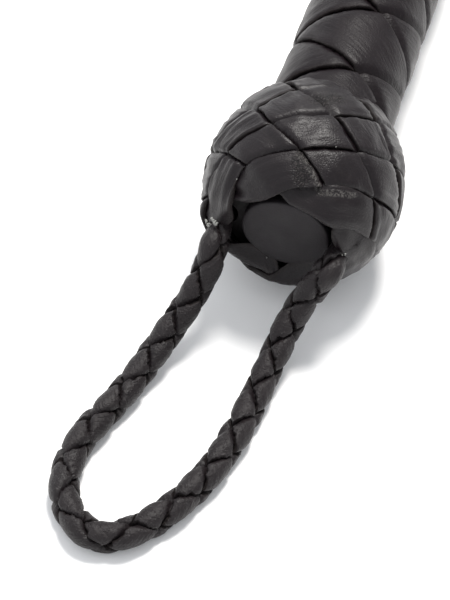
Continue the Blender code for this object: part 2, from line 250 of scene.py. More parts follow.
def spline_through(points, step):
    """Evenly spaced points on a Catmull-Rom curve through the given ones."""
    p = np.array(points, float)
    p = np.vstack([2 * p[0] - p[1], p, 2 * p[-1] - p[-2]])
    fine = []
    for a, b, c, d in zip(p, p[1:], p[2:], p[3:]):
        t = np.linspace(0, 1, 24, endpoint=False)[:, None]
        fine.append(0.5 * (2 * b + (c - a) * t + (2 * a - 5 * b + 4 * c - d) * t ** 2
                           + (3 * b - a - 3 * c + d) * t ** 3))
    fine.append(p[-2][None])
    fine = np.vstack(fine)
    walked = length_along(fine)
    count = max(2, round(walked[-1] / step) + 1)
    at = np.linspace(0, walked[-1], count)
    return np.stack([np.interp(at, walked, fine[:, i]) for i in range(3)], axis=1)


# ---------------------------------------------------------------- Blender pieces

def make_mesh(name, verts, faces, mat, matrix=CROP_AXIS, attributes=None):
    """A smooth-shaded mesh from points in millimetres in the frame that matrix gives."""
    mesh = bpy.data.meshes.new(name)
    mesh.from_pydata((np.asarray(verts).reshape(-1, 3) * MM).tolist(), [], faces)
    mesh.transform(matrix)
    mesh.shade_smooth()
    for label, values in (attributes or {}).items():
        values = np.asarray(values, np.float32)
        kind, key = ("FLOAT_VECTOR", "vector") if values.ndim > 1 else ("FLOAT", "value")
        mesh.attributes.new(label, kind, "POINT").data.foreach_set(key, values.ravel())
    mesh.materials.append(mat)
    obj = bpy.data.objects.new(name, mesh)
    bpy.context.scene.collection.objects.link(obj)
    return obj


def grid_faces(rows, columns, closed_rows=False):
    """The quads between rings of points, the last ring joined to the first if closed_rows."""
    i = np.arange(rows if closed_rows else rows - 1)
    i, j = (a.ravel() for a in np.meshgrid(i, np.arange(columns), indexing="ij"))
    i2, j2 = (i + 1) % rows, (j + 1) % columns
    return np.stack([i * columns + j, i2 * columns + j, i2 * columns + j2, i * columns + j2], axis=1).tolist()


def lace_profile():
    """Points round a lace's section: place across (-1 to 1), depth in thicknesses, and edge share."""
    top = [(math.sin(a), 0.0, 0.0) for a in np.radians(np.linspace(-70, 70, 13))]
    right = [(0.985, -0.10, 0.6), (1.0, -0.32, 1.0), (1.0, -0.75, 1.0), (0.97, -1.0, 0.6)]
    under = [(0.5, -1.0, 0.0), (0.0, -1.0, 0.0), (-0.5, -1.0, 0.0)]
    left = [(-v, z, e) for v, z, e in reversed(right)]
    return np.array(top + right + under + left).T


PROFILE = lace_profile()


def sphere_place(points):
    """The longitude and latitude of points about the pommel's centre, in degrees."""
    lon = np.degrees(np.arctan2(points[..., 1], points[..., 2]))
    lat = np.degrees(np.arcsin(points[..., 0] / np.linalg.norm(points, axis=-1)))
    return lon, lat


def bell(lon, lat, at_lon, at_lat, reach):
    """1 at a place on the pommel, falling smoothly to 0 with distance in degrees."""
    away = (lon - at_lon + 180) % 360 - 180
    return np.exp(-(away ** 2 + (lat - at_lat) ** 2) / reach ** 2)


def bells(lon, lat, spots):
    """The sum of smooth spots: longitude, latitude, reach and height of each."""
    total = 0 * lon
    for at_lon, at_lat, reach, rise in spots:
        total = total + rise * bell(lon, lat, at_lon, at_lat, reach)
    return total


def length_along(points):
    """The distance walked to each point."""
    return np.r_[0, np.cumsum(np.linalg.norm(np.diff(points, axis=0), axis=1))]


def smoothed(values, window, closed):
    pad = np.pad(values, window, mode="wrap" if closed else "edge")
    return np.convolve(pad, np.ones(2 * window + 1) / (2 * window + 1), mode="valid")


def lace_steps(path, surface, turn, closed):
    """How a lace lies on a surface.

    Returns the distance walked along it, the steps in longitude and row for each millimetre
    across it, and the width that leaves no gap to its neighbours, all at each row of points.
    """
    theta, rho, heading, _ = path
    step = 0.2
    here = surface(theta, rho, 0.0 * theta)
    by_theta = (surface(theta + step, rho, 0.0 * theta) - here) / step
    by_rho = (surface(theta, rho + step / turn, 0.0 * theta) - here) / (step / turn)
    along = unit(np.roll(here, -1, 0) - np.roll(here, 1, 0) if closed else np.gradient(here, axis=0))
    normal = unit(np.cross(by_theta, by_rho))
    lift = surface(theta, rho, 0.0 * theta + 0.1) - here
    normal *= np.sign((normal * lift).sum(-1, keepdims=True))
    side = np.cross(normal, along)
    tt = (by_theta ** 2).sum(-1)
    rr = (by_rho ** 2).sum(-1)
    tr = (by_theta * by_rho).sum(-1)
    st = (side * by_theta).sum(-1)
    sr = (side * by_rho).sum(-1)
    det = tt * rr - tr ** 2
    cell = 2 * turn * np.sqrt(det)
    rising = cell / np.linalg.norm(turn * by_theta + by_rho, axis=-1)
    falling = cell / np.linalg.norm(turn * by_theta - by_rho, axis=-1)
    own = np.where(heading >= 0, rising, falling)
    spacing = np.where(np.abs(heading) > 0.99, own, (rising + falling) / 2)
    window = max(3, len(theta) // (400 if closed else 60))
    steps = ((st * rr - sr * tr) / det, (sr * tt - st * tr) / det)
    return length_along(here), steps, smoothed(spacing, window, closed)


def lace(name, path, surface, turn, mat, thick, fill=0.95, crown=0.12, pillow=0.12, seed=1, dive=(0.40, 0.55),
         closed=False, wrinkle=0.0, most=99.0, matrix=CROP_AXIS, marks=None, measure=None, ragged=0.05,
         wander=0.0, pinches=(), creases=()):
    """One flat lace of a weave, as a closed mesh.

    path gives, for each row of points, its longitude, weave row, heading (+1 up the rows, -1 down)
    and crossing count. An even crossing is an over. turn is the longitude passed in each weave row.
    fill is the lace's share of the room it has, and most its greatest width. crown rounds it from
    edge to edge, pillow bulges it where it passes over, and dive gives how far from that crossing
    it starts and ends going under. Widths are measured on the surface called measure, which is
    the surface itself unless it bends.
    """
    theta, rho, heading, count = (values[:, None] for values in path)
    across, depth, edge = PROFILE
    measure = measure or surface
    walked, steps, spacing = lace_steps(path, measure, turn, closed)
    on_ball = sphere_place(measure(path[0], path[1], 0.0 * path[0]))
    width = np.minimum(fill * spacing, most)
    width = width * (1 + 0.018 * wobble(walked / 14, 0 * walked, seed)) * (1 - bells(*on_ball, pinches))
    walked = walked[:, None]
    tatter = wobble(walked / 1.3, 5 * np.sign(across), seed + 5) * (np.abs(across) > 0.9)
    offset = 0.5 * width[:, None] * across + ragged * tatter * np.sign(across)
    offset = offset + wander * wobble(walked / 9, 0 * walked, seed + 7)
    th = theta + steps[0][:, None] * offset
    rh = rho + steps[1][:, None] * offset
    crossing = count + (th - theta + turn * heading * (rh - rho)) / (2 * turn)
    reach = np.abs((crossing + 1) % 2 - 1)
    gentle = 1 - np.abs(heading) ** 4
    under = smoothstep(dive[0] - 0.32 * gentle, dive[1] + 0.14 * gentle, reach)
    folds = wobble(walked / 16, offset / 1.9, seed + 9) * (depth > -0.5)
    unevenness = wobble(walked / 7, offset / 6, seed + 3) * (depth > -0.9)
    height = -under * (thick + 0.08) - pillow * np.minimum(reach / 0.5, 1) ** 2
    height = height - crown * np.abs(across) ** 2.5 + depth * thick
    height = height + (wrinkle + bells(*on_ball, creases)[:, None]) * folds + 0.05 * unevenness
    verts = surface(th, rh, height)
    rows, columns = offset.shape
    faces = grid_faces(rows, columns, closed)
    if not closed:
        faces.append(list(range(columns))[::-1])
        faces.append([(rows - 1) * columns + j for j in range(columns)])
    place = np.stack([walked + 0 * offset, offset, 0 * offset + 37.0 * seed], axis=-1)
    attributes = {"lace": place.reshape(-1, 3), "edge": (0 * offset + edge).ravel()}
    for label, mark in (marks or {}).items():
        attributes[label] = mark(verts).ravel()
    return make_mesh(name, verts, faces, mat, matrix, attributes)


def knot_path(leads, bights, start, samples):
    """A Turk's head's whole lace: it goes up and down the rows, turning on in longitude."""
    t = np.linspace(0, 2 * leads * bights, samples, endpoint=False)
    theta = start + 180.0 / bights * t
    lap = t % (2 * leads)
    ramp = np.minimum(lap, 2 * leads - lap)
    near = np.minimum(ramp, leads - ramp)
    soft = np.where(near < 1, 0.375 + 0.75 * near ** 2 - 0.125 * near ** 4, near)
    rho = np.where(ramp < leads / 2, soft, leads - soft)
    slope = np.where(near < 1, 1.5 * near - 0.5 * near ** 3, 1.0)
    heading = slope * np.where(lap < leads, 1.0, -1.0)
    count = np.interp(lap, [0, 0.5, 1, leads - 1, leads + 1, 2 * leads - 1, 2 * leads],
                      [0.42, 0.72, 1, leads - 1, leads, 2 * leads - 2, 2 * leads - 1.58])
    return theta, rho, heading, count


def plait_paths(start, rows, samples, zero=0.0):
    """The four laces of a round plait, two each way: 90 degrees of turn in each weave row."""
    for number in range(4):
        hand = 1 if number < 2 else -1
        over_at = 1.0 if hand > 0 else 0.0
        rho = np.linspace(*rows, samples)[::hand]
        theta = start + 180.0 * (number % 2) + 90.0 * hand * (rho - zero)
        yield theta, rho, 0 * rho + hand, hand * (rho - over_at)


# ---------------------------------------------------------------- surfaces that laces lie on

KNOT_LATITUDE = np.polynomial.Polynomial.fit(range(len(KNOT_ROWS)), KNOT_ROWS, 4)


def knot_surface(theta, rho, height):
    """The pommel: latitude follows the weave's rows, and the neck keeps clear of the grip."""
    base_lat = KNOT_LATITUDE(np.clip(rho, -0.9, 8.2))
    base_lon = theta + KNOT_TWIST * (base_lat - KNOT_TWIST_LAT)
    base_lon = base_lon - KNOT_SQUEEZE * np.sin(np.radians(theta - KNOT_SQUEEZE_AT))
    lon, lat = base_lon, base_lat
    for at_lon, at_lat, shift_lon, shift_lat in KNOT_PULLS:
        pull = bell(base_lon, base_lat, at_lon, at_lat, PULL_REACH)
        lon = lon + shift_lon * pull
        lat = lat + shift_lat * pull
    low_side = (0.5 - 0.5 * np.cos(np.radians(lon))) ** 2
    lat = lat - KNOT_LIP * smoothstep(-28, -52, lat) * low_side
    radius = KNOB_R + height + KNOT_SHOULDER * smoothstep(12, 38, lat) + bells(lon, lat, KNOT_LIFTS)
    ring = radius * np.cos(np.radians(lat))
    x = radius * np.sin(np.radians(lat))
    past = np.maximum(RIM_LAT - lat, 0.0)
    rolled = 1 - np.exp(-(past / RIM_ROLL) ** 2)
    inward = radius * math.cos(math.radians(RIM_LAT)) - RIM_STEP * past
    ring = ring + rolled * (inward + 0.3 * height - ring)
    x = x + rolled * (radius * math.sin(math.radians(RIM_LAT)) + RIM_BACK * past - x)
    neck = NECK_R + height
    outer = (np.abs(ring) ** 16 + np.abs(neck) ** 16) ** (1 / 16)
    ring = ring + smoothstep(25, 40, lat) * (outer - ring)
    return turned(x, ring, lon)


def knot_cracks(verts):
    """1 where the finish is cracked, falling to 0 away from there."""
    return np.minimum(bells(*sphere_place(verts), KNOT_CRACKS), 1.0)


def knot_flakes(verts):
    """1 along the edges where the finish flakes, falling to 0 away from them."""
    lon, lat = sphere_place(verts)
    share = 0 * lon
    for lon_1, lat_1, lon_2, lat_2 in KNOT_FLAKES:
        run, rise = lon_2 - lon_1, lat_2 - lat_1
        t = np.clip(((lon - lon_1) * run + (lat - lat_1) * rise) / (run ** 2 + rise ** 2), 0, 1)
        away = (lon - lon_1 - t * run) ** 2 + (lat - lat_1 - t * rise) ** 2
        share = np.maximum(share, np.exp(-away / FLAKE_REACH ** 2))
    return share


def grip_surface(theta, rho, height):
    x = GRIP_ROW_ZERO + GRIP_ROW * rho + GRIP_SKEW * np.sin(np.radians(theta - GRIP_TURN))
    return turned(x, GRIP_R + height, theta)


# The shaft's taper, and its share that each weave row takes, since rows shorten with the radius
SHAFT_FALL = (SHAFT_R_START - SHAFT_R_END) / (SHAFT_END - SHAFT_START)
SHAFT_ROW_FALL = SHAFT_FALL * math.pi / 2 / math.tan(math.radians(SHAFT_LEAN))


def shaft_surface(theta, rho, height):
    radius = SHAFT_R_START * np.exp(-SHAFT_ROW_FALL * rho)
    x = SHAFT_START + (SHAFT_R_START - radius) / SHAFT_FALL
    return turned(x, radius + height, theta)


def ring_surface(side, leads):
    """A surface turned from (x, radius) points, with the weave's rows spread evenly along it."""
    points = spline_through([(x, r, 0.0) for x, r in side], 0.5)
    walked = np.linspace(-0.05, leads + 0.05, len(points))

    def surface(theta, rho, height):
        x = np.interp(rho, walked, points[:, 0])
        radius = np.interp(rho, walked, points[:, 1])
        return turned(x, radius + height, theta)
    return surface


class CordSurface:
    """A tube round a curve, slimmer at its ends, whose plait keeps one ridge facing a fixed way."""

    def __init__(self, points):
        spare = 10.0
        self.length = length_along(points)[-1]
        points = np.vstack([points[0] + unit(points[0] - points[1]) * spare, points,
                            points[-1] + unit(points[-1] - points[-2]) * spare])
        self.points = points
        self.walked = length_along(points) - spare
        tangent = unit(np.gradient(points, axis=0))
        self.side = unit(np.cross(tangent, LOOP_FACE))
        self.up = np.cross(self.side, tangent)

    def __call__(self, theta, rho, height):
        at = rho * LOOP_ROW
        pick = [np.stack([np.interp(at, self.walked, a[:, i]) for i in range(3)], axis=-1)
                for a in (self.points, self.side, self.up)]
        angle = np.radians(theta)[..., None]
        root = smoothstep(10.0, 4.0, np.minimum(at, self.length - at))
        radius = ((LOOP_R + height) * (1 - LOOP_ROOT_SHRINK * root))[..., None]
        return pick[0] + radius * (np.cos(angle) * pick[2] + np.sin(angle) * pick[1])


# ---------------------------------------------------------------- materials

class Shader:
    """A short way to build one material's nodes."""

    def __init__(self, name, roughness=0.5, specular=0.5):
        self.material = bpy.data.materials.new(name)
        self.material.use_nodes = True
        self.tree = self.material.node_tree
        self.bsdf = self.tree.nodes["Principled BSDF"]
        self.bsdf.inputs["Roughness"].default_value = roughness
        self.bsdf.inputs["Specular IOR Level"].default_value = specular

    def node(self, kind, settings=None, **inputs):
        made = self.tree.nodes.new(kind)
        for key, value in (settings or {}).items():
            setattr(made, key, value)
        for key, value in inputs.items():
            name = key.replace("_", " ")
            target = made.inputs[int(key[1:])] if key[0] == "i" and key[1:].isdigit() else made.inputs[name]
            self.put(target, value)
        return made

    def put(self, socket, value):
        if isinstance(value, bpy.types.NodeSocket):
            self.tree.links.new(value, socket)
        else:
            socket.default_value = value

    def attribute(self, name, output="Fac"):
        return self.node("ShaderNodeAttribute", {"attribute_name": name}).outputs[output]

    def scaled(self, vector, scale):
        return self.node("ShaderNodeMapping", i0=vector, Scale=scale).outputs[0]

    def object_place(self, *scale):
        place = self.node("ShaderNodeTexCoord").outputs["Object"]
        return self.scaled(place, scale) if scale else place

    def noise(self, vector, scale, detail=2.0, roughness=0.5, distortion=0.0):
        made = self.node("ShaderNodeTexNoise", Vector=vector, Scale=scale, Detail=detail,
                         Roughness=roughness, Distortion=distortion)
        return made.outputs["Fac"]

    def voronoi(self, vector, scale, feature="F1", randomness=1.0):
        made = self.node("ShaderNodeTexVoronoi", {"feature": feature}, Vector=vector, Scale=scale,
                         Randomness=randomness)
        return made.outputs["Distance"]

    def math(self, kind, a, b=0.0, clamp=False):
        made = self.node("ShaderNodeMath", {"operation": kind, "use_clamp": clamp}, i0=a, i1=b)
        return made.outputs[0]

    def spread(self, value, low, high, to_low=0.0, to_high=1.0):
        made = self.node("ShaderNodeMapRange", {"clamp": True}, i0=value, i1=low, i2=high, i3=to_low,
                         i4=to_high)
        return made.outputs[0]

    def mix(self, share, a, b):
        made = self.node("ShaderNodeMix", {"data_type": "RGBA"})
        self.put(made.inputs[0], share)
        self.put(made.inputs[6], a)
        self.put(made.inputs[7], b)
        return made.outputs[2]

    def bump(self, height, distance, strength=1.0, normal=None):
        made = self.node("ShaderNodeBump", Strength=strength, Distance=distance, Height=height)
        if normal is not None:
            self.tree.links.new(normal, made.inputs["Normal"])
        return made.outputs[0]

    def finish(self, colour, roughness=None, normal=None):
        """Connects what is given to the surface, and returns the material."""
        for name, value in (("Base Color", colour), ("Roughness", roughness), ("Normal", normal)):
            if value is not None:
                self.put(self.bsdf.inputs[name], value)
        return self.material


def leather_material(name, dark=(0.0042, 0.0025, 0.0033, 1), light=(0.0083, 0.0053, 0.0067, 1), grain=2.6,
                     grain_depth=0.04, crease=0.5, rough=(0.33, 0.43), specular=0.27):
    """Dyed black leather: pores, creases, scuffed crowns, a raw cut edge, cracks whose grooves carry painted
    shade, and flakes.
    """
    s = Shader(name, specular=specular)
    place = s.attribute("lace", "Vector")
    edge = s.attribute("edge")
    cracked = s.attribute("crack")
    flaked = s.attribute("flake")
    pores = s.voronoi(place, grain)
    fine = s.noise(place, grain * 3.1, 3.0, 0.65)
    blotch = s.noise(place, 0.16, 3.0, 0.6)
    streak = s.noise(s.scaled(place, (0.22, 1.5, 1.0)), 0.9, 3.0, 0.6, 0.4)
    scuff = s.noise(s.scaled(place, (0.5, 0.8, 1.0)), 0.55, 4.0, 0.7)
    worn = s.math("MULTIPLY", s.spread(scuff, 0.55, 0.75), s.spread(fine, 0.42, 0.7))
    plates = s.voronoi(place, 1.5, "DISTANCE_TO_EDGE")
    chips = s.spread(s.noise(place, 2.2, 4.0, 0.75), 0.46, 0.60)
    # the cracks' grooves: the same mask dents them and paints shade in them
    crack_grooves_and_shade = s.math("MULTIPLY", s.spread(cracked, 0.25, 0.7), s.spread(plates, 0.16, 0.03))
    peeled = s.math("MULTIPLY", s.spread(flaked, 0.2, 0.6), chips)
    dusty = s.math("MULTIPLY", s.spread(cracked, 0.3, 0.9), s.math("MULTIPLY", chips, 0.45))

    tone = s.mix(blotch, dark, light)
    tone = s.mix(s.math("MULTIPLY", worn, 0.35), tone, (0.055, 0.049, 0.046, 1))
    tone = s.mix(s.math("MULTIPLY", edge, 0.5), tone, (0.020, 0.016, 0.015, 1))
    tone = s.mix(dusty, tone, (0.040, 0.031, 0.029, 1))
    # painted shade: the cracks' grooves are darkened nearly to black, standing in for the shade that falls in
    # them
    tone = s.mix(s.math("MULTIPLY", crack_grooves_and_shade, 0.9), tone, (0.003, 0.0025, 0.0025, 1))
    tone = s.mix(s.math("MULTIPLY", peeled, 0.75), tone, (0.13, 0.122, 0.116, 1))

    dullness = s.math("ADD", s.spread(blotch, 0.3, 0.7, *rough), s.math("MULTIPLY", edge, 0.2))
    dullness = s.math("ADD", dullness, s.spread(fine, 0.3, 0.75, -0.06, 0.08))
    dullness = s.math("ADD", dullness, s.math("MULTIPLY", cracked, 0.15))

    fray = s.math("MULTIPLY", fine, s.math("ADD", 1.0, s.math("MULTIPLY", edge, 3.0)))
    cut_edge = s.math("MULTIPLY", s.noise(place, 5.0, 3.0, 0.7), edge)
    relief = s.bump(streak, 0.25 * MM, crease)
    relief = s.bump(s.spread(pores, 0.0, 0.55), grain_depth * MM, 0.9, relief)
    relief = s.bump(fray, grain_depth * 0.8 * MM, 0.8, relief)
    relief = s.bump(cut_edge, 0.12 * MM, 0.8, relief)
    relief = s.bump(s.math("SUBTRACT", peeled, crack_grooves_and_shade), 0.14 * MM, 0.9, relief)
    return s.finish(tone, dullness, relief)


def cap_material():
    """Smooth matte leather with a faint grain."""
    s = Shader("cap_leather", 0.62, 0.36)
    place = s.object_place(1000.0, 1000.0, 1000.0)
    blotch = s.noise(place, 0.22, 3.0, 0.6)
    pores = s.bump(s.voronoi(place, 3.2), 0.035 * MM, 0.8)
    relief = s.bump(s.noise(place, 6.0, 3.0, 0.6), 0.035 * MM, 0.8, pores)
    tone = s.mix(blotch, (0.0078, 0.0058, 0.0072, 1), (0.0125, 0.0096, 0.0118, 1))
    return s.finish(tone, s.spread(blotch, 0.3, 0.7, 0.56, 0.68), relief)


def wood_material(name, dark, light):
    """Turned wood, its grain drawn out along the crop's length."""
    s = Shader(name, 0.6, 0.35)
    place = s.object_place(60.0, 600.0, 600.0)
    rings = s.noise(place, 1.2, 5.0, 0.6, 0.6)
    fibre = s.noise(s.scaled(place, (1.0, 6.0, 6.0)), 2.0, 3.0, 0.6)
    relief = s.bump(fibre, 0.08 * MM, 0.5)
    return s.finish(s.mix(rings, dark, light), s.spread(rings, 0.3, 0.7, 0.5, 0.7), relief)


def glass_fibre_material():
    s = Shader("glass_fibre", 0.4, 0.5)
    strands = s.noise(s.object_place(30.0, 1500.0, 1500.0), 1.0, 4.0, 0.6)
    tone = s.mix(strands, (0.55, 0.52, 0.40, 1), (0.70, 0.68, 0.58, 1))
    return s.finish(tone, s.spread(strands, 0.3, 0.7, 0.3, 0.5), s.bump(strands, 0.05 * MM, 0.4))


def thread_material():
    """Waxed black thread of twisted plies."""
    s = Shader("waxed_thread", 0.5, 0.5)
    plies = s.noise(s.object_place(2000.0, 2000.0, 2000.0), 1.6, 3.0, 0.6)
    tone = s.mix(plies, (0.008, 0.008, 0.009, 1), (0.035, 0.033, 0.035, 1))
    return s.finish(tone, s.spread(plies, 0.3, 0.7, 0.42, 0.62), s.bump(plies, 0.12 * MM, 0.7))


def glue_material():
    s = Shader("dried_glue", 0.5, 0.4)
    cloudy = s.noise(s.object_place(), 2500.0)
    return s.finish(s.mix(cloudy, (0.07, 0.07, 0.066, 1), (0.36, 0.36, 0.34, 1)))


def floor_material():
    s = Shader("white_table", 0.7, 0.2)
    return s.finish(s.mix(s.noise(s.object_place(), 30.0), (0.93, 0.93, 0.935, 1), (0.95, 0.95, 0.95, 1)))


# ---------------------------------------------------------------- camera, floor and light

def make_camera():
    azimuth = math.radians(CAMERA_AZIMUTH)
    elevation = math.radians(CAMERA_ELEVATION)
    back = Vector((math.sin(azimuth) * math.cos(elevation), -math.cos(azimuth) * math.cos(elevation),
                   math.sin(elevation)))
    data = bpy.data.cameras.new("camera")
    data.lens = CAMERA_LENS
    data.sensor_width = CAMERA_SENSOR
    data.clip_start = 0.01
    camera = bpy.data.objects.new("camera", data)
    bpy.context.scene.collection.objects.link(camera)
    aim = Vector((KNOB_X, 0.0, 0.0)) + Vector(CAMERA_AIM)
    camera.location = (aim + back * CAMERA_DISTANCE) * MM
    camera.rotation_mode = "QUATERNION"
    camera.rotation_quaternion = (-back).to_track_quat("-Z", "Y")
    bpy.context.scene.camera = camera


def make_floor():
    corners = [(x * FLOOR_HALF, y * FLOOR_HALF, 0) for x, y in ((-1, -1), (1, -1), (1, 1), (-1, 1))]
    floor = make_mesh("table_top", corners, [(0, 1, 2, 3)], floor_material(), Matrix.Identity(4))


def make_tent():
    """A white surround whose strength rises towards +Y."""
    world = bpy.data.worlds.new("white_tent")
    bpy.context.scene.world = world
    world.use_nodes = True
    tree = world.node_tree
    sky = tree.nodes["Background"]
    sky.inputs["Color"].default_value = TENT_COLOUR
    toward = tree.nodes.new("ShaderNodeSeparateXYZ")
    tree.links.new(tree.nodes.new("ShaderNodeTexCoord").outputs["Generated"], toward.inputs[0])
    slope = tree.nodes.new("ShaderNodeMath")
    slope.operation = "MULTIPLY_ADD"
    slope.inputs[1].default_value = TENT_SLOPE
    slope.inputs[2].default_value = TENT_STRENGTH
    tree.links.new(toward.outputs["Y"], slope.inputs[0])
    tree.links.new(slope.outputs[0], sky.inputs["Strength"])


def make_lamp():
    data = bpy.data.lights.new("top_softbox", "AREA")
    data.shape = "DISK"
    data.size = LAMP_SIZE
    data.energy = LAMP_POWER
    data.color = LAMP_COLOUR
    lamp = bpy.data.objects.new("top_softbox", data)
    bpy.context.scene.collection.objects.link(lamp)
    knob = Vector((KNOB_X * MM, 0.0, 0.0))
    lamp.location = knob + Vector(LAMP_PLACE)
    toward = knob + Vector((0.0, 0.0, LAMP_AIM_HEIGHT)) - lamp.location
    lamp.rotation_mode = "QUATERNION"
    lamp.rotation_quaternion = toward.to_track_quat("-Z", "Y")


# ---------------------------------------------------------------- the crop's pieces

def make_knot(leather):
    turn = 180.0 / KNOT_BIGHTS
    path = knot_path(KNOT_LEADS, KNOT_BIGHTS, KNOT_START, 1700)
    piece = lace("knot_lace", path, knot_surface, turn, leather, KNOT_THICK, fill=0.955, closed=True,
                 wrinkle=0.07, most=9.8, seed=4, crown=0.07, pillow=0.09, pinches=KNOT_PINCHES,
                 creases=KNOT_FOLDS, marks={"crack": knot_cracks, "flake": knot_flakes})
    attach(piece, "crop")
    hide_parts("pommel_knot")


def make_grip(leather):
    rows = [(x - GRIP_ROW_ZERO) / GRIP_ROW for x in (GRIP_START, GRIP_END)]
    for number, path in enumerate(plait_paths(GRIP_TURN, rows, 700, zero=1.0), 1):
        piece = lace(f"grip_strap_{number}", path, grip_surface, 90.0, leather, GRIP_THICK, fill=0.955,
                     wrinkle=0.05, seed=19 + number, crown=0.1, pillow=0.15, dive=(0.42, 0.53))
        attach(piece, "crop")
        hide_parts(f"grip_lace_{number}")


def make_shaft(leather):
    rows = (0.0, math.log(SHAFT_R_START / SHAFT_R_END) / SHAFT_ROW_FALL)
    for number, path in enumerate(plait_paths(0.0, rows, 520), 1):
        piece = lace(f"shaft_strap_{number}", path, shaft_surface, 90.0, leather, SHAFT_THICK,
                     wrinkle=0.03, seed=39 + number, dive=(0.42, 0.55))
        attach(piece, "crop")
        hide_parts(f"shaft_lace_{number}")


def make_ring_knots(leather):
    for name, node, side, leads, bights, thick, samples in (
            ("collar_lace", "grip_collar", COLLAR_SIDE, 5, 8, COLLAR_THICK, 1500),
            ("tip_lace", "tip_knot", TIP_SIDE, 3, 5, TIP_THICK, 420)):
        path = knot_path(leads, bights, 0.0, samples)
        piece = lace(name, path, ring_surface(side, leads), 180.0 / bights, leather, thick, fill=0.93,
                     closed=True, seed=60 + leads)
        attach(piece, "crop")
        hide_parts(node)


def straight_cord(theta, rho, height):
    """The wrist loop's cord laid straight, on which its laces are measured."""
    return turned(rho * LOOP_ROW, LOOP_R + height, theta)


def loop_centreline():
    """The cord's whole route in the row's frame, from one root to the other."""
    route = [*LEFT_ROOT, *LOOP_ROUTE, *RIGHT_ROOT]
    return spline_through([(x + KNOB_X, y, z) for x, y, z in route], 0.5)


def make_loop(leather):
    """Four laces braided round along the cord's route, bending where they leave the pommel."""
    points = loop_centreline()
    surface = CordSurface(points)
    rows = (0.0, surface.length / LOOP_ROW)
    strands = [
        lace(f"loop_strand_{number}", path, surface, 90.0, leather, LOOP_THICK, crown=0.38, pillow=0.34,
             seed=79 + number, dive=(0.36, 0.56), wrinkle=0.05, ragged=0.13, wander=0.16,
             matrix=Matrix.Identity(4), measure=straight_cord)
        for number, path in enumerate(plait_paths(45.0, rows, 620), 1)]
    piece = join("loop_braid", strands)
    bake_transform(piece)
    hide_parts("wrist_loop", "loop_tail_left", "loop_tail_right")


def join(name, objects):
    """One object from several, with their attributes kept."""
    with bpy.context.temp_override(active_object=objects[0], selected_editable_objects=objects,
                                   object=objects[0], selected_objects=objects):
        bpy.ops.object.join()
    objects[0].name = name
    objects[0].data.name = name
    return objects[0]


def capped_tube_faces(rings, sides):
    """The faces of a closed tube of rings, wound the way swept and make_cap lay their points."""
    faces = [f[::-1] for f in grid_faces(rings, sides)]
    faces.append(list(range(sides)))
    faces.append(list(range((rings - 1) * sides, rings * sides))[::-1])
    return faces


def make_cap(leather):
    """The leather disc: nearly flat, with a softened rim."""
    around = np.linspace(0, 360, CAP_SIDES, endpoint=False)
    rings = [turned(CAP_FRONT + depth, max(radius, 0.02), around) for radius, depth in CAP_SIDE]
    piece = make_mesh("cap_disc", np.concatenate(rings), capped_tube_faces(len(rings), CAP_SIDES), leather)
    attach(piece, "crop")
    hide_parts("end_cap")


def swept(points, radius, sides, ply, ply_step):
    """A closed tube round points, whose three twisted plies show as ridges."""
    tangent = unit(np.gradient(points, axis=0))
    side = unit(np.cross(tangent, (0.3, 0.2, 0.93)))
    up = np.cross(side, tangent)
    angle = np.linspace(0, 2 * math.pi, sides, endpoint=False)
    twist = 2 * math.pi * length_along(points)[:, None] / ply_step
    reach = (radius * (1 + ply * np.cos(3 * angle - twist)))[..., None]
    around = np.cos(angle)[:, None] * up[:, None] + np.sin(angle)[:, None] * side[:, None]
    rings = points[:, None] + reach * around
    return rings.reshape(-1, 3), capped_tube_faces(len(points), sides)


def make_whipping(thread):
    """Waxed thread wound tightly over the keeper's gathered root, its ends tucked under."""
    turns = np.linspace(-0.25, WHIP_TURNS + 0.25, 1300)
    x = WHIP_START + (WHIP_END - WHIP_START) * np.clip(turns / WHIP_TURNS, 0, 1)
    tuck = smoothstep(0.25, 0.0, np.minimum(turns + 0.25, WHIP_TURNS + 0.25 - turns))
    points = turned(x, WHIP_R + 0.03 * np.sin(turns * 9.1) - 0.7 * tuck, 360 * turns + 120)
    verts, faces = swept(points, WHIP_THREAD_R, 10, 0.07, 1.5)
    piece = make_mesh("tip_whipping", verts, faces, thread)
    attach(piece, "crop")
    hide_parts("tip_binding")


def keeper_half_width(x):
    """Half the flap's width: narrow at its root, flaring, then straight to rounded corners."""
    swell = 0.5 - 0.5 * np.cos(math.pi * np.clip((x - KEEPER_ROOT) / KEEPER_FLARE, 0, 1))
    half = (KEEPER_ROOT_W + (KEEPER_WIDTH - KEEPER_ROOT_W) * swell) / 2
    half = half - (KEEPER_ROOT_W / 2 - GATHER_R) * (1 - smoothstep(-5.0, 1.0, x))
    past = np.clip(x - (KEEPER_LENGTH - KEEPER_CORNER), 0, KEEPER_CORNER)
    return half - KEEPER_CORNER + np.sqrt(KEEPER_CORNER ** 2 - past ** 2)


def keeper_rim():
    """The flap's outline in its own plane, from its gathered root round its end and back."""
    x = np.r_[np.linspace(KEEPER_BACK, KEEPER_LENGTH - KEEPER_CORNER, 220),
              KEEPER_LENGTH - KEEPER_CORNER + KEEPER_CORNER * np.sin(np.linspace(0, math.pi / 2, 60))]
    side = np.stack([x, keeper_half_width(x)], axis=1)
    across = np.linspace(1, -1, 41)[1:-1, None] * side[-1, 1]
    end = np.hstack([0 * across + KEEPER_LENGTH, across])
    return np.vstack([side, end, side[::-1] * (1, -1)])


def drooped(points):
    """From the keeper's own frame to the crop's, turned down past the hinge."""
    angle = np.radians(KEEPER_DROOP) * smoothstep(-1.5, 1.5, points[..., 0])
    x, y, z = (points[..., i] for i in range(3))
    return np.stack([HINGE_X + x * np.cos(angle) + z * np.sin(angle), y,
                     z * np.cos(angle) - x * np.sin(angle)], axis=-1)


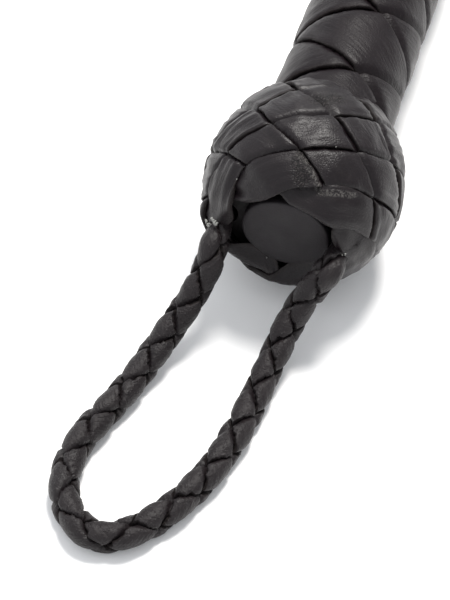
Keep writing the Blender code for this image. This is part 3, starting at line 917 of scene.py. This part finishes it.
def make_keeper_leaf(side, leather):
    """One leather of the flap: gathered under the whipping, flat past the hinge, its border creased."""
    x = np.r_[np.linspace(KEEPER_BACK, KEEPER_LENGTH - 3, 180),
              KEEPER_LENGTH - 3 * np.cos(np.linspace(0, math.pi / 2, 22))[1:]]
    v = np.sin(np.linspace(-math.pi / 2, math.pi / 2, 91))
    y = keeper_half_width(x)[:, None] * v
    x = x[:, None] + 0 * y
    rim = keeper_rim()
    depth = np.min(np.hypot(x[..., None] - rim[:, 0], y[..., None] - rim[:, 1]), axis=-1)
    wrap = 1 - smoothstep(-4.5, 1.5, x)
    dome = GATHER_R * np.sqrt(1 - 0.96 * v ** 2)
    outer = LEAF_OUTER + wrap * (dome - LEAF_OUTER)
    inner = LEAF_INNER + wrap * (np.maximum(dome - GATHER_THICK, 0.1) - LEAF_INNER)
    middle = (outer + inner) / 2
    round_edge = 0.12 + 0.88 * np.sqrt(1 - (1 - np.minimum(depth / LEAF_EDGE_ROUND, 1)) ** 2)
    press = CREASE_DEPTH * np.exp(-((depth - CREASE_INSET) / 0.22) ** 2)
    press = press + SEAM_DEPTH * np.exp(-((depth - STITCH_INSET) / 0.5) ** 2)
    press = press * smoothstep(0.5, 4.0, x)
    uneven = 0.06 * wobble(x / 11, y / 9, 140 + side) + 0.05 * wobble(x / 3, y / 2.2, 150 + side) * wrap
    folds = 0.16 * wrap * np.sin(y * 3.1 + 1.3 * np.sin(x * 0.5)) * smoothstep(0.0, 1.0, depth)
    top = middle + (outer - middle) * round_edge - press + uneven + folds
    under = middle - (middle - inner) * round_edge

    def there_and_back(over, back):
        return np.concatenate([over, back[:, ::-1]], axis=1)

    loops = drooped(there_and_back(np.stack([x, y, side * top], -1), np.stack([x, y, side * under], -1)))
    rows, columns = loops.shape[:2]
    faces = grid_faces(rows, columns)
    faces.append(list(range(columns))[::-1])
    faces.append(list(range((rows - 1) * columns, rows * columns)))
    if side > 0:
        faces = [f[::-1] for f in faces]
    apart = 300 + 20 * side
    place = there_and_back(np.stack([x, y, 0 * x + apart], -1), np.stack([x, y, 0 * x + apart + 40], -1))
    edge = np.exp(-(depth / 0.35) ** 2)
    attributes = {"lace": place.reshape(-1, 3), "edge": there_and_back(edge, edge).ravel()}
    name = "keeper_upper_leather" if side > 0 else "keeper_lower_leather"
    piece = make_mesh(name, loops, faces, leather, attributes=attributes)
    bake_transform(piece)
    if side > 0:
        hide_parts("keeper_upper_leaf", "keeper_tab")
    else:
        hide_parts("keeper_lower_leaf")


def make_stitches(thread):
    """Saddle stitches along the flap's border, through both leathers."""
    rim = keeper_rim()
    rim = rim[rim[:, 0] > KEEPER_ROOT + 2.0]
    run = unit(np.gradient(rim, axis=0))
    inside = rim + STITCH_INSET * np.stack([run[:, 1], -run[:, 0]], axis=1)
    walked = length_along(inside)
    count = int(walked[-1] / STITCH_STEP)
    spare = (walked[-1] - count * STITCH_STEP) / 2
    t = np.linspace(0, 1, 11)
    arch = 1 - np.abs(2 * t - 1) ** 4
    verts, faces = [], []
    for number in range(count):
        at = spare + number * STITCH_STEP + 0.4 + STITCH_LENGTH * t
        x, y = (np.interp(at, walked, inside[:, i]) for i in range(2))
        for side in (1, -1):
            z = side * (LEAF_OUTER - 0.45 + 0.47 * arch)
            points = drooped(np.stack([x, y, z], axis=-1))
            tube, tube_faces = swept(points, STITCH_R, 9, 0.08, 1.3)
            base = len(tube) * len(verts)
            verts.append(tube)
            faces.extend([i + base for i in face] for face in tube_faces)
    piece = make_mesh("keeper_stitches", np.concatenate(verts), faces, thread)
    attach(piece, "keeper")
    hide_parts("keeper_stitching")


def make_specks():
    """Dried glue at the loop's exits, with a few specks in the seams."""
    draw = np.random.default_rng(7)
    shape = bmesh.new()
    for lon, lat, radius, count, spread, size in GLUE:
        for _ in range(count):
            at_lon, at_lat = draw.normal((lon, lat), spread)
            lump = bmesh.ops.create_icosphere(shape, subdivisions=2, radius=size * draw.uniform(0.6, 1.3))
            angle = math.radians(at_lat)
            middle = Vector(turned(radius * math.sin(angle), radius * math.cos(angle), at_lon))
            stretch = Vector(draw.uniform(0.5, 1.4, 3))
            for v in lump["verts"]:
                bump = 1 + 0.25 * math.sin(9 * v.co.x / size + 5 * v.co.y / size + at_lon)
                v.co = middle + v.co * stretch * bump
    shape.verts.index_update()
    verts = [tuple(v.co) for v in shape.verts]
    faces = [[v.index for v in face.verts] for face in shape.faces]
    shape.free()
    piece = make_mesh("glue_specks", verts, faces, glue_material())
    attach(piece, "crop")


def dress_cad(leather):
    """Finishes for the pieces inside that no lace or leather replaces."""
    wood = wood_material("turned_wood", (0.30, 0.18, 0.09, 1), (0.52, 0.36, 0.20, 1))
    stained = wood_material("stained_wood", (0.006, 0.005, 0.006, 1), (0.014, 0.012, 0.012, 1))
    fibre = glass_fibre_material()
    finish = {"core_rod": fibre, "handle_dowel": wood, "pommel_ball": stained, "shaft_bolster": leather}
    for name, material in finish.items():
        node = frame["nodes"][name]
        node.data.materials.clear()
        node.data.materials.append(material)


def build():
    make_camera()
    make_floor()
    make_tent()
    make_lamp()
    bpy.context.scene.view_settings.view_transform = "Standard"
    knot_leather = leather_material("knot_leather")
    grip_leather = leather_material("grip_leather", specular=0.17, rough=(0.36, 0.46))
    lace_leather = leather_material("lace_leather", grain=3.0)
    loop_leather = leather_material("loop_leather", light=(0.013, 0.0095, 0.0105, 1), grain=2.0,
                                    grain_depth=0.10, crease=1.1, rough=(0.38, 0.52))
    cap_leather = cap_material()
    thread = thread_material()
    make_cap(cap_leather)
    make_knot(knot_leather)
    make_grip(grip_leather)
    make_shaft(lace_leather)
    make_ring_knots(lace_leather)
    make_loop(loop_leather)
    make_whipping(thread)
    make_keeper_leaf(1, lace_leather)
    make_keeper_leaf(-1, lace_leather)
    make_stitches(thread)
    make_specks()
    dress_cad(cap_leather)


build()
